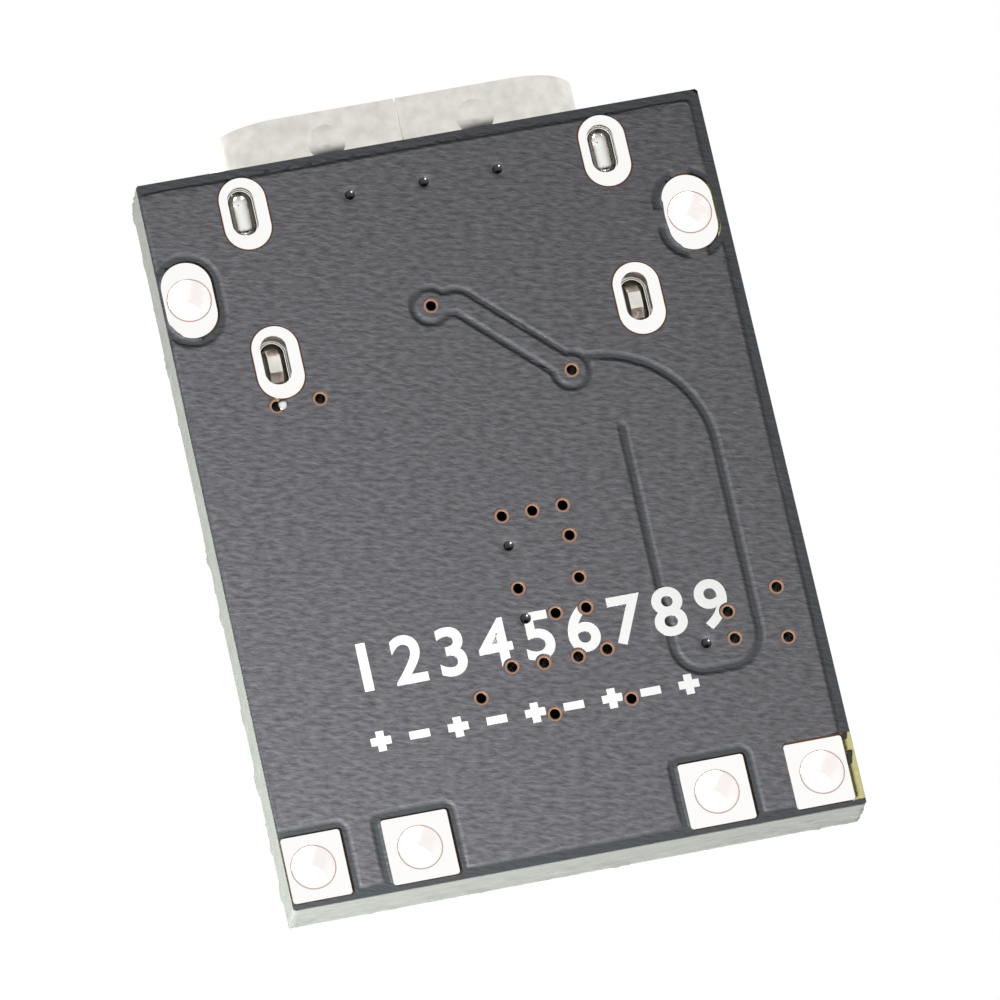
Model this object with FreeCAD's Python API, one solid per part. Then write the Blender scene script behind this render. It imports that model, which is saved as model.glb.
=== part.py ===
# Lithium battery charger module: a small circuit board with a USB-C socket at one end.
# The board lies with its bare back down and its parts on top, and the socket's mouth is towards +Y.
# The origin is the middle of the back face, which is the plane z = 0. All sizes are millimetres.
import FreeCAD
import Part
import math
import os

V = FreeCAD.Vector

# Board
board_width = 13.5
board_length = 17.8
core_thickness = 1.5
copper_thickness = 0.035
mask_thickness = 0.025
corner_radius = 0.06
routed_corner_radius = 0.25

# Holes and copper sit a little to one side of the outline, as on the real panel
pattern_shift = 0.1

# Wire holes: two oval pads at the sides, four square pads at the open end
wire_hole_radius = 0.5
plating = 0.03
pad_recess = 0.01
outer_hole_edge = 0.75
hole_step = 2.5
end_hole_edge = 0.92
side_hole_edge = 2.99
inner_pad_width = 1.55
outer_pad_width = 1.38
outer_pad_offset = 0.07
end_pad_length = 1.56
end_pad_radius = 0.07
oval_pad_width = 1.19
oval_pad_length = 1.86

# Solder mask windows
window_gap = 0.04
window_shift_x = -0.035
window_shift_y = 0.015
land_window_gap = 0.05

# Copper pour on the back
pour_margin_side = 0.18
pour_margin_end = 0.29
pour_corner_radius = 0.12
pad_gap = 0.24
spoke_width = 0.38
mask_lining = 0.03

# Vias
via_hole_radius = 0.12
via_wall = 0.02
via_ring_radius = 0.28
via_window_radius = 0.19

# Rows of small vias under the charger, by the socket's rear pegs and between its front pegs
thermal_column_pitch = 0.725
thermal_inner_row = 0.52
thermal_outer_row = 1.26
rear_via_setback = 1.1
socket_via_setback = 0.05
socket_via_pitch = 1.77

# Narrow trace island between two vias on the back, set out from the tails of the socket's contacts
trace_width = 0.37
trace_gap = 0.2
trace_end_radius = 0.33
trace_bend_radius = 0.2
trace_start_x = 0.58
trace_start_setback = 1.71
trace_bend_x = -0.07
trace_end_x = -2.32
trace_end_setback = 0.43

# Broad strip of copper on the back, set off by one winding gap
strip_gap_width = 0.24
strip_outer_x = -5.25
strip_inner_x = -3.18
strip_top_step = 0.25
strip_start_x = -2.55
strip_bottom_y = -5.1
strip_end_y = 1.04
strip_top_radius = 2.6
strip_corner_radius = 0.8
strip_inner_radius = 0.7

# Socket shell
shell_width = 8.94
shell_height = 3.2
sheet = 0.3
shell_length = 6.7
mouth_overhang = 1.6
seam_width = 0.04
dimple_radius = 0.45
dimple_depth = 0.13
dimple_spacing = 3.6
dimple_setback = 0.8
tail_opening_width = 6.8
tail_opening_length = 1.1

# Socket pegs and their slots
peg_width = 0.8
peg_slot_side = 0.16
peg_slot_end = 0.2
front_peg_setback = 2.67
rear_peg_inset = 0.31
front_peg_recess = 0.5
rear_peg_recess = 0.3
peg_chamfer = 0.2
peg_relief = 0.15
ring_side = 0.24
ring_end = 0.29
ring_shift_x = -0.04
ring_shift_y = -0.06

# Solder in the peg slots: how deep its rim lies, how far it sags and the clearance left around it
front_solder_depth = 0.2
rear_solder_depth = 0.5
solder_sag = 0.22
solder_rim_width = 0.02
solder_clearance = 0.01

# Socket insulator, latch plate and contacts
insulator_clearance = 0.02
insulator_setback = 0.1
insulator_length = 1.9
root_width = 7.3
root_thickness = 1.2
root_length = 0.8
tongue_width = 6.7
tongue_thickness = 0.7
tongue_setback = 0.9
tongue_nose_radius = 0.2
latch_plate_width = 6.86
latch_plate_thickness = 0.15
latch_plate_setback = 0.25
contact_thickness = 0.15
contact_proud = 0.03
contact_setback = 0.35
power_contact_width = 0.45
signal_contact_width = 0.25
riser_inset = 0.5
tail_reach = 0.75
tail_land_length = 1.0
tail_toe = 0.1

# Chips with gull-wing leads. A body size is across the leads, along the rows and in height.
standoff = 0.1
body_draft = 0.1
pin_mark_radius = 0.2
pin_mark_depth = 0.04
pin_mark_inset = 0.5
lead_thickness = 0.15
foot_length = 0.55
shoulder = 0.2
land_heel = 0.2
land_toe = 0.35
land_side = 0.06
joint_height = 0.14
fillet_fullness = 0.18
charger_size = (3.9, 4.9, 1.5)
charger_span = 6.0
charger_pitch = 1.27
charger_lead_width = 0.4
charger_lead_count = 4
charger_x = -0.67
charger_gap = 0.17
transistor_size = (4.4, 3.0, 1.0)
transistor_span = 6.4
transistor_pitch = 0.65
transistor_lead_width = 0.24
transistor_lead_count = 4
transistor_x = 0.05
transistor_setback = 2.03
protector_size = (1.6, 2.9, 1.1)
protector_span = 2.8
protector_pitch = 0.95
protector_lead_width = 0.38
protector_lead_count = 3
protector_place = (5.0, -4.4)

# Two-ended parts: length, width, height and length of a metal end
end_wrap = 0.02
chip_toe = 0.3
joint_rise = 0.6
small_size = (1.0, 0.5, 0.35, 0.24)
medium_size = (1.6, 0.8, 0.45, 0.3)
large_size = (2.0, 1.25, 0.95, 0.4)
small_capacitor_size = (1.0, 0.5, 0.5, 0.24)

# Where the two-ended parts lie: a column on the right, one beside the lamps, and two parts by the wire holes
right_column_x = 4.75
lamp_resistor_x = -4.5
lamp_resistor_setback = 1.11
lamp_resistor_pitch = 1.7
first_cc_resistor_x = -2.32
second_cc_resistor_x = -0.4
supply_resistor_place = (3.12, -3.2)
sense_resistor_x = -5.2
sense_resistor_setback = 1.83
filter_capacitor_x = 4.5
filter_capacitor_setback = 1.33

# Indicator lamps
lamp_length = 1.6
lamp_width = 0.8
lamp_base_height = 0.22
lamp_end_length = 0.3
lamp_cap_height = 0.42
lamp_cap_draft = 0.05
lamp_x = -5.6
lamp_setback = 2.61
lamp_pitch = 2.5

# Levels, counted from the back face upwards
core_bottom = mask_thickness + copper_thickness
core_top = core_bottom + core_thickness
land_top = core_top + copper_thickness
board_top = land_top + mask_thickness

# Places that follow from the sizes
right_edge = board_width / 2
end_edge = board_length / 2
outer_hole_pitch = board_width - 2 * outer_hole_edge
outer_hole_x = outer_hole_pitch / 2
inner_hole_x = outer_hole_x - hole_step
outer_pad_x = outer_hole_x - outer_pad_offset
end_hole_y = end_hole_edge - end_edge
side_hole_y = end_edge - side_hole_edge
pour_half_width = right_edge - pour_margin_side
pour_half_length = end_edge - pour_margin_end
socket_x = pattern_shift
mouth_y = end_edge + mouth_overhang
rear_y = mouth_y - shell_length
front_peg_y = mouth_y - front_peg_setback
rear_peg_y = rear_y + rear_peg_inset
peg_x = shell_width / 2 - sheet / 2
shell_middle_z = board_top + shell_height / 2
slot_width = sheet + 2 * peg_slot_side
slot_length = peg_width + 2 * peg_slot_end
ring_length = slot_length + 2 * ring_end
ring_foot_y = rear_peg_y + ring_shift_y - ring_length / 2
tail_y = rear_y - tail_reach
trace_start = (trace_start_x, tail_y + trace_start_setback)
trace_bend = (trace_bend_x, trace_start[1])
trace_end = (trace_end_x, tail_y - trace_end_setback)
strip_top_y = trace_end[1] + strip_top_step

# The transistor is set out from the wire holes, and the charger lies a gap beyond it
transistor_y = end_hole_y + transistor_setback
charger_y = transistor_y + transistor_size[1] / 2 + charger_gap + charger_size[1] / 2

# The right column fills the room between a peg ring and the protector's lands with equal gaps
column_foot_y = protector_place[1] + protector_span / 2 + land_toe
column_filling = 2 * large_size[1] + medium_size[1]
column_gap = (ring_foot_y - column_foot_y - column_filling) / 4
input_capacitor_y = ring_foot_y - column_gap - large_size[1] / 2
battery_capacitor_y = input_capacitor_y - large_size[1] - column_gap
current_resistor_y = column_foot_y + column_gap + medium_size[1] / 2

# The two resistors of the socket's CC contacts lie midway between the tails' lands and the charger
cc_resistor_y = (tail_y - tail_toe + charger_y + charger_size[1] / 2) / 2
charge_lamp_y = side_hole_y - lamp_setback
lamp_resistor_y = ring_foot_y - lamp_resistor_setback

# Two-ended parts, as name: size, x and y
resistors = {
    "current_resistor": (medium_size, right_column_x, current_resistor_y),
    "charge_lamp_resistor": (small_size, lamp_resistor_x, lamp_resistor_y),
    "full_lamp_resistor": (small_size, lamp_resistor_x, lamp_resistor_y - lamp_resistor_pitch),
    "first_cc_resistor": (small_size, first_cc_resistor_x, cc_resistor_y),
    "second_cc_resistor": (small_size, second_cc_resistor_x, cc_resistor_y),
    "supply_resistor": (small_size, *supply_resistor_place),
    "sense_resistor": (small_size, sense_resistor_x, end_hole_y + sense_resistor_setback),
}
capacitors = {
    "input_capacitor": (large_size, right_column_x, input_capacitor_y),
    "battery_capacitor": (large_size, right_column_x, battery_capacitor_y),
    "filter_capacitor": (small_capacitor_size, filter_capacitor_x, end_hole_y + filter_capacitor_setback),
}
lamps = {
    "charge_lamp": (lamp_x, charge_lamp_y),
    "full_lamp": (lamp_x, charge_lamp_y - lamp_pitch),
}

# These lie along Y, and the others along X
upright_parts = ("charge_lamp_resistor", "full_lamp_resistor", "supply_resistor", "sense_resistor")

# Vias in the order of the back's rows: by the socket, under the charger, below it and beside it
thermal_columns = [charger_x + step * thermal_column_pitch for step in (1, 0, -1)]
thermal_offsets = (thermal_outer_row, thermal_inner_row, -thermal_inner_row, -thermal_outer_row)
thermal_rows = [charger_y + offset for offset in thermal_offsets]
open_vias = [
    trace_start,
    trace_end,
    (3.6, rear_peg_y - rear_via_setback),
    (4.63, rear_peg_y - rear_via_setback),
    (thermal_columns[0], thermal_rows[0]),
    (thermal_columns[1], thermal_rows[0]),
    (thermal_columns[2], thermal_rows[0]),
    (thermal_columns[2], thermal_rows[1]),
    (thermal_columns[0], thermal_rows[2]),
    (thermal_columns[2], thermal_rows[2]),
    (thermal_columns[1], thermal_rows[3]),
    (thermal_columns[2], thermal_rows[3]),
    (0.6, -4.17),
    (-0.15, -4.21),
    (-0.96, -4.21),
    (-1.66, -4.16),
    (1.46, -4.77),
    (-0.13, -5.46),
    (-1.95, -5.43),
    (-4.61, -3.8),
    (-4.63, -4.46),
    (-5.86, -3.43),
    (-5.86, -4.66),
]
covered_vias = [
    (thermal_columns[0], thermal_rows[1]),
    (thermal_columns[0], thermal_rows[3]),
    (-3.95, -4.46),
    (socket_x + socket_via_pitch, front_peg_y - socket_via_setback),
    (socket_x, front_peg_y - socket_via_setback),
    (socket_x - socket_via_pitch, front_peg_y - socket_via_setback),
]


def block(x0, x1, y0, y1, z0, z1):
    """A rectangular block between two corners."""
    return Part.makeBox(x1 - x0, y1 - y0, z1 - z0, V(x0, y0, z0))


def upright_edges(solid):
    """The edges that run along Z."""
    return [e for e in solid.Edges if abs(e.tangentAt(e.FirstParameter).z) > 0.99]


def rounded_block(x0, x1, y0, y1, radius, z0, z1):
    """A block whose upright edges are rounded."""
    solid = block(x0, x1, y0, y1, z0, z1)
    return solid.makeFillet(radius, upright_edges(solid))


def rod(x, y, radius, z0, z1):
    """An upright cylinder."""
    return Part.makeCylinder(radius, z1 - z0, V(x, y, z0))


def oval(x, y, width, length, z0, z1):
    """An upright prism with straight sides along Y and full round ends."""
    radius = width / 2
    straight = length / 2 - radius
    edges = [
        Part.makeLine(V(x + radius, y - straight, z0), V(x + radius, y + straight, z0)),
        Part.Arc(
            V(x + radius, y + straight, z0), V(x, y + length / 2, z0), V(x - radius, y + straight, z0)
        ).toShape(),
        Part.makeLine(V(x - radius, y + straight, z0), V(x - radius, y - straight, z0)),
        Part.Arc(
            V(x - radius, y - straight, z0), V(x, y - length / 2, z0), V(x + radius, y - straight, z0)
        ).toShape(),
    ]
    return Part.Face(Part.Wire(edges)).extrude(V(0, 0, z1 - z0))


def prism_xz(points, y0, y1):
    """A prism along Y from an outline of (x, z) points."""
    outline = [V(x, y0, z) for x, z in points]
    return Part.Face(Part.makePolygon(outline + outline[:1])).extrude(V(0, y1 - y0, 0))


def prism_yz(points, x0, x1):
    """A prism along X from an outline of (y, z) points."""
    outline = [V(x0, y, z) for y, z in points]
    return Part.Face(Part.makePolygon(outline + outline[:1])).extrude(V(x1 - x0, 0, 0))


def frustum(width0, length0, z0, width1, length1, z1):
    """A tapered block about the Z axis, from one rectangle to another."""
    rings = []
    for width, length, z in ((width0, length0, z0), (width1, length1, z1)):
        corners = [
            V(-width / 2, -length / 2, z),
            V(width / 2, -length / 2, z),
            V(width / 2, length / 2, z),
            V(-width / 2, length / 2, z),
        ]
        rings.append(Part.makePolygon(corners + corners[:1]))
    return Part.makeLoft(rings, True, True)


def bar(start, end, width, z0, z1):
    """A straight flat run between two points, square at its ends."""
    run = V(end[0] - start[0], end[1] - start[1], 0)
    solid = Part.makeBox(run.Length, width, z1 - z0, V(0, -width / 2, 0))
    solid.rotate(V(0, 0, 0), V(0, 0, 1), math.degrees(math.atan2(run.y, run.x)))
    solid.translate(V(start[0], start[1], z0))
    return solid


def bend(centre, radius, width, start_angle, turn, z0, z1):
    """A flat run along an arc, given in degrees, with its width centred on the radius."""
    solid = Part.makeCylinder(radius + width / 2, z1 - z0, V(0, 0, 0), V(0, 0, 1), turn)
    if radius > width / 2:
        solid = solid.cut(Part.makeCylinder(radius - width / 2, z1 - z0))
    solid.rotate(V(0, 0, 0), V(0, 0, 1), start_angle)
    solid.translate(V(centre.x, centre.y, z0))
    return solid


def track(points, radii, width, z0, z1):
    """A flat run of one width along straight stretches with rounded bends and round ends."""
    pieces = [rod(points[0][0], points[0][1], width / 2, z0, z1)]
    start = V(points[0][0], points[0][1], 0)
    for before, corner, after, radius in zip(points, points[1:], points[2:], radii):
        turning_point = V(corner[0], corner[1], 0)
        way_in = (turning_point - V(before[0], before[1], 0)).normalize()
        way_out = (V(after[0], after[1], 0) - turning_point).normalize()
        turn = math.atan2(way_in.cross(way_out).z, way_in.dot(way_out))
        setback = radius * math.tan(abs(turn) / 2)
        side = math.copysign(1, turn)
        arc_start = turning_point - way_in * setback
        centre = arc_start + V(-way_in.y, way_in.x, 0) * (side * radius)
        swing_start = arc_start - centre
        first = math.degrees(math.atan2(swing_start.y, swing_start.x))
        if side < 0:
            first -= math.degrees(abs(turn))
        if (arc_start - start).Length > 0.001:
            pieces.append(bar((start.x, start.y), (arc_start.x, arc_start.y), width, z0, z1))
        pieces.append(bend(centre, radius, width, first, math.degrees(abs(turn)), z0, z1))
        start = turning_point + way_out * setback
    pieces.append(bar((start.x, start.y), points[-1], width, z0, z1))
    pieces.append(rod(points[-1][0], points[-1][1], width / 2, z0, z1))
    return pieces[0].multiFuse(pieces[1:]).removeSplitter()


def is_routed(edge):
    """Whether an upright edge is at the corner that a cutter rounded."""
    return edge.Vertexes[0].X < 0 and edge.Vertexes[0].Y > 0


def board_slab(z0, z1):
    """One layer of the whole board, with small corners and one corner that a cutter rounded."""
    solid = block(-right_edge, right_edge, -end_edge, end_edge, z0, z1)
    solid = solid.makeFillet(corner_radius, [e for e in upright_edges(solid) if not is_routed(e)])
    return solid.makeFillet(routed_corner_radius, [e for e in upright_edges(solid) if is_routed(e)])


# Wire pads, as name: hole centre, pad centre, pad width, pad length and whether the ends are round
wire_pads = {
    "edge_pad_right": (outer_hole_x, side_hole_y, outer_hole_x, oval_pad_width, oval_pad_length),
    "edge_pad_left": (-outer_hole_x, side_hole_y, -outer_hole_x, oval_pad_width, oval_pad_length),
    "end_pad_outer_right": (outer_hole_x, end_hole_y, outer_pad_x, outer_pad_width, end_pad_length),
    "end_pad_inner_right": (inner_hole_x, end_hole_y, inner_hole_x, inner_pad_width, end_pad_length),
    "end_pad_inner_left": (-inner_hole_x, end_hole_y, -inner_hole_x, inner_pad_width, end_pad_length),
    "end_pad_outer_left": (-outer_hole_x, end_hole_y, -outer_pad_x, outer_pad_width, end_pad_length),
}


def pad_shape(name, grow, z0, z1, shift_x=0.0, shift_y=0.0):
    """The outline of one wire pad, grown on all sides, as a prism."""
    _, y, pad_x, width, length = wire_pads[name]
    x = pad_x + pattern_shift + shift_x
    y = y + shift_y
    if name.startswith("edge"):
        return oval(x, y, width + 2 * grow, length + 2 * grow, z0, z1)
    half_width = width / 2 + grow
    half_length = length / 2 + grow
    radius = end_pad_radius + grow
    return rounded_block(x - half_width, x + half_width, y - half_length, y + half_length, radius, z0, z1)


def hole_x(name):
    """The middle of a wire hole across the board."""
    return wire_pads[name][0] + pattern_shift


def wire_pad(name):
    """A tinned land on each face, joined by the plated wall of the hole."""
    y = wire_pads[name][1]
    back = pad_shape(name, 0, pad_recess, core_bottom)
    front = pad_shape(name, 0, core_top, board_top - pad_recess)
    barrel = rod(hole_x(name), y, wire_hole_radius + plating, core_bottom, core_top)
    solid = back.multiFuse([barrel, front])
    return solid.cut(rod(hole_x(name), y, wire_hole_radius, 0, board_top))


def ring_window(x, y, z0, z1):
    """The mask window over one peg ring."""
    width = slot_width + 2 * (ring_side + window_gap)
    return oval(x + ring_shift_x, y + ring_shift_y, width, ring_length + 2 * window_gap, z0, z1)


def pad_windows(z0, z1, shift_x, shift_y):
    """Mask windows over the wire pads. Those of the outer pads run out to the board's edge."""
    windows = []
    for name, (_, y, pad_x, width, length) in wire_pads.items():
        windows.append(pad_shape(name, window_gap, z0, z1, shift_x, shift_y))
        if "outer" in name:
            side = math.copysign(1, pad_x)
            reach = sorted((pad_x + pattern_shift, side * board_width))
            low = y - length / 2 - window_gap + shift_y
            high = y + length / 2 + window_gap + shift_y
            windows.append(block(reach[0], reach[1], low, high, z0, z1))
    return windows


def peg_slots():
    """The middles of the four slots for the socket's pegs."""
    return [(socket_x + side * peg_x, y) for y in (front_peg_y, rear_peg_y) for side in (1, -1)]


def peg_ring(x, y):
    """An oval tinned ring on each face, joined by the plated wall of its slot."""
    width = slot_width + 2 * ring_side
    ring_x = x + ring_shift_x
    ring_y = y + ring_shift_y
    back = oval(ring_x, ring_y, width, ring_length, pad_recess, core_bottom)
    front = oval(ring_x, ring_y, width, ring_length, core_top, board_top - pad_recess)
    wall = oval(x, y, slot_width + 2 * plating, slot_length + 2 * plating, core_bottom, core_top)
    return back.multiFuse([wall, front]).cut(oval(x, y, slot_width, slot_length, 0, board_top))


def copper_gaps(lining, z0, z1):
    """Where the back has no copper, drawn in from each copper edge by the lining."""
    gaps = []
    reach = right_edge + end_edge
    grown_width = pour_half_width + lining
    grown_length = pour_half_length + lining
    margin = block(-reach, reach, -reach, reach, z0, z1)
    pour = rounded_block(
        pattern_shift - grown_width,
        pattern_shift + grown_width,
        -grown_length,
        grown_length,
        pour_corner_radius,
        z0,
        z1,
    )
    gaps.append(margin.cut(pour))

    trace = [trace_start, trace_bend, trace_end]
    moat_width = trace_width + 2 * (trace_gap - lining)
    outer = [track(trace, [trace_bend_radius], moat_width, z0, z1)]
    inner = [track(trace, [trace_bend_radius], trace_width + 2 * lining, z0, z1)]
    for x, y in (trace_start, trace_end):
        outer.append(rod(x, y, trace_end_radius + trace_gap - lining, z0, z1))
        inner.append(rod(x, y, trace_end_radius + lining, z0, z1))
    gaps.append(outer[0].multiFuse(outer[1:]).cut(inner))

    strip = [
        (strip_start_x, strip_top_y),
        (strip_outer_x, strip_top_y),
        (strip_outer_x, strip_bottom_y),
        (strip_inner_x, strip_bottom_y),
        (strip_inner_x, strip_end_y),
    ]
    radii = [strip_top_radius, strip_corner_radius, strip_inner_radius]
    gaps.append(track(strip, radii, strip_gap_width - 2 * lining, z0, z1).cut(inner))

    for name in wire_pads:
        if name == "end_pad_outer_left":
            continue
        gap = pad_shape(name, pad_gap - lining, z0, z1).cut(pad_shape(name, lining, z0, z1))
        if name == "edge_pad_left":
            x = hole_x(name)
            half = spoke_width / 2 + lining
            across = block(x - reach, x, side_hole_y - half, side_hole_y + half, z0, z1)
            across.translate(V(reach, 0, 0))
            along = block(x - half, x + half, side_hole_y - reach, side_hole_y + reach, z0, z1)
            gap = gap.cut([across, along])
        gaps.append(gap)
    return gaps


def drill_holes(z0, z1, via_radius, wall):
    """Everything that is drilled or milled through the board."""
    tools = [rod(x, y, via_radius, z0, z1) for x, y in open_vias + covered_vias]
    for name in wire_pads:
        tools.append(rod(hole_x(name), wire_pads[name][1], wire_hole_radius + wall, z0, z1))
    for x, y in peg_slots():
        tools.append(oval(x, y, slot_width + 2 * wall, slot_length + 2 * wall, z0, z1))
    return tools


def glass_fibre_core():
    """The board's core with all its holes."""
    drills = drill_holes(core_bottom, core_top, via_hole_radius + via_wall, plating)
    return board_slab(core_bottom, core_top).cut(drills)


def copper_layer(pads, rings):
    """The pour and its islands on the back, with the plated wall and front ring of every via."""
    pour = board_slab(mask_thickness, core_bottom)
    pour = pour.cut(copper_gaps(0, mask_thickness, core_bottom) + pads + rings)
    walls = []
    for x, y in open_vias + covered_vias:
        walls.append(rod(x, y, via_hole_radius + via_wall, core_bottom, core_top))
        walls.append(rod(x, y, via_ring_radius, core_top, land_top))
    return pour.multiFuse(walls).cut(drill_holes(0, board_top, via_hole_radius, 0) + rings)


def back_mask(copper, pads, rings):
    """The back's solder mask, which sinks wherever there is no copper under it."""
    slab = board_slab(0, core_bottom)
    grooves = copper_gaps(mask_lining, 0, copper_thickness)
    windows = pad_windows(0, core_bottom, window_shift_x, window_shift_y)
    windows += [rod(x, y, via_window_radius, 0, core_bottom) for x, y in open_vias]
    windows += [rod(x, y, via_hole_radius, 0, core_bottom) for x, y in covered_vias]
    windows += [ring_window(x, y, 0, core_bottom) for x, y in peg_slots()]
    return slab.cut([copper] + pads + rings + grooves + windows)


def front_mask(copper, pads, rings, lands):
    """The front's solder mask, with a window over each land and each open via."""
    slab = board_slab(core_top, board_top)
    windows = pad_windows(core_top, board_top, window_shift_x, window_shift_y)
    windows += [rod(x, y, via_window_radius, core_top, board_top) for x, y in open_vias]
    windows += [rod(x, y, via_hole_radius, core_top, board_top) for x, y in covered_vias]
    windows += [ring_window(x, y, core_top, board_top) for x, y in peg_slots()]
    for land in lands:
        box = land.BoundBox
        gap = land_window_gap
        windows.append(
            block(box.XMin - gap, box.XMax + gap, box.YMin - gap, box.YMax + gap, core_top, board_top)
        )
    return slab.cut([copper] + pads + rings + windows)


def stadium(width, height, y0, y1):
    """A lying prism along Y with full round sides, centred on the socket's mouth."""
    radius = height / 2
    straight = width / 2 - radius
    z = shell_middle_z
    right = socket_x + straight
    left = socket_x - straight
    edges = [
        Part.makeLine(V(left, y0, z - radius), V(right, y0, z - radius)),
        Part.Arc(V(right, y0, z - radius), V(right + radius, y0, z), V(right, y0, z + radius)).toShape(),
        Part.makeLine(V(right, y0, z + radius), V(left, y0, z + radius)),
        Part.Arc(V(left, y0, z + radius), V(left - radius, y0, z), V(left, y0, z - radius)).toShape(),
    ]
    return Part.Face(Part.Wire(edges)).extrude(V(0, y1 - y0, 0))


def tail_opening_top():
    """How high the opening for the tails reaches, so that it clears the shell's rounded sides."""
    inner_radius = shell_height / 2 - sheet
    past_flat = max(tail_opening_width / 2 - (shell_width - shell_height) / 2, 0)
    past_flat = min(past_flat, inner_radius)
    rise = inner_radius - math.sqrt(inner_radius**2 - past_flat**2)
    return board_top + sheet + rise + insulator_clearance


def socket_shell():
    """A sheet folded into a flat tube, with a seam below, four dimples and four pegs."""
    shell = stadium(shell_width, shell_height, rear_y, mouth_y)
    ball_radius = (dimple_radius**2 + dimple_depth**2) / (2 * dimple_depth)
    dimple_y = mouth_y - dimple_setback
    centres = []
    for side in (-1, 1):
        for level in (-1, 1):
            lift = level * (shell_height / 2 + ball_radius - dimple_depth)
            centres.append(V(socket_x + side * dimple_spacing / 2, dimple_y, shell_middle_z + lift))
    hollow = stadium(shell_width - 2 * sheet, shell_height - 2 * sheet, rear_y, mouth_y)
    hollow = hollow.cut([Part.makeSphere(ball_radius + sheet, c) for c in centres])
    shell = shell.cut([hollow] + [Part.makeSphere(ball_radius, c) for c in centres])

    half = tail_opening_width / 2
    bottom = shell_middle_z - shell_height / 2
    opening_top = tail_opening_top()
    cuts = [
        block(socket_x - half, socket_x + half, rear_y, rear_y + tail_opening_length, bottom, opening_top),
        block(socket_x - seam_width / 2, socket_x + seam_width / 2, rear_y, mouth_y, bottom, bottom + sheet),
    ]
    for x, y in peg_slots():
        low = y - peg_width / 2 - peg_relief
        high = y + peg_width / 2 + peg_relief
        out = math.copysign(1, x - socket_x)
        reach = sorted((x - out * (shell_height / 2), x + out * sheet))
        cuts.append(block(reach[0], reach[1], low, high, bottom, shell_middle_z))
    return shell.cut(cuts).multiFuse([peg(x, y, 0) for x, y in peg_slots()])


def peg(x, y, clearance):
    """One flat peg of the shell with a pointed tip, with a clearance all round it."""
    tip = (front_peg_recess if y > rear_peg_y else rear_peg_recess) - clearance
    side = peg_width / 2 + clearance
    outline = [
        (y - side, shell_middle_z),
        (y + side, shell_middle_z),
        (y + side, tip + peg_chamfer),
        (y + side - peg_chamfer, tip),
        (y - side + peg_chamfer, tip),
        (y - side, tip + peg_chamfer),
    ]
    return prism_yz(outline, x - sheet / 2 - clearance, x + sheet / 2 + clearance)


def peg_solder(x, y):
    """Solder that fills a slot round its peg, with a hollow surface towards the back."""
    depth = front_solder_depth if y > rear_peg_y else rear_solder_depth
    width = slot_width - 2 * solder_clearance
    length = slot_length - 2 * solder_clearance
    fill = oval(x, y, width, length, depth, board_top - pad_recess)
    half_chord = width / 2 - solder_rim_width
    radius = (half_chord**2 + solder_sag**2) / (2 * solder_sag)
    middle = depth + solder_sag - radius
    straight = (length - width) / 2
    hollow = Part.makeCylinder(radius, 2 * straight, V(x, y - straight, middle), V(0, 1, 0))
    ends = [Part.makeSphere(radius, V(x, y + side * straight, middle)) for side in (-1, 1)]
    return fill.cut([hollow.multiFuse(ends), peg(x, y, solder_clearance)])


def tongue_middle(thickness, width, y0, y1):
    """A flat block in the middle of the socket's mouth."""
    return block(
        socket_x - width / 2,
        socket_x + width / 2,
        y0,
        y1,
        shell_middle_z - thickness / 2,
        shell_middle_z + thickness / 2,
    )


# Contacts, as name: place across the tongue, width, and the tongue's upper or lower face
socket_contacts = {
    "contact_ground_right": (2.75, power_contact_width, 1),
    "contact_supply_right": (1.52, power_contact_width, 1),
    "contact_signal_left": (-0.5, signal_contact_width, 1),
    "contact_ground_left": (-2.75, power_contact_width, -1),
    "contact_supply_left": (-1.52, power_contact_width, -1),
    "contact_signal_right": (0.5, signal_contact_width, -1),
}
insulator_front = rear_y + insulator_setback + insulator_length
riser_y = rear_y + riser_inset
tongue_tip = mouth_y - tongue_setback


def socket_contact(name):
    """A blade along the tongue, a riser inside the insulator and a tail that lies on its land."""
    offset, width, face = socket_contacts[name]
    x = socket_x + offset
    surface = shell_middle_z + face * (tongue_thickness / 2 + contact_proud)
    blade_z = sorted((surface, surface - face * contact_thickness))
    riser_end = riser_y + contact_thickness
    x0 = x - width / 2
    x1 = x + width / 2
    blade = block(x0, x1, riser_y, tongue_tip - contact_setback, blade_z[0], blade_z[1])
    riser = block(x0, x1, riser_y, riser_end, board_top, blade_z[1])
    tail = block(x0, x1, tail_y, riser_end, board_top, board_top + contact_thickness)
    return blade.multiFuse([riser, tail]).removeSplitter()


def latch_plate():
    """A steel plate in the middle of the tongue, which shows as a metal line at its sides."""
    start = riser_y + 2 * contact_thickness
    return tongue_middle(latch_plate_thickness, latch_plate_width, start, tongue_tip - latch_plate_setback)


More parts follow.
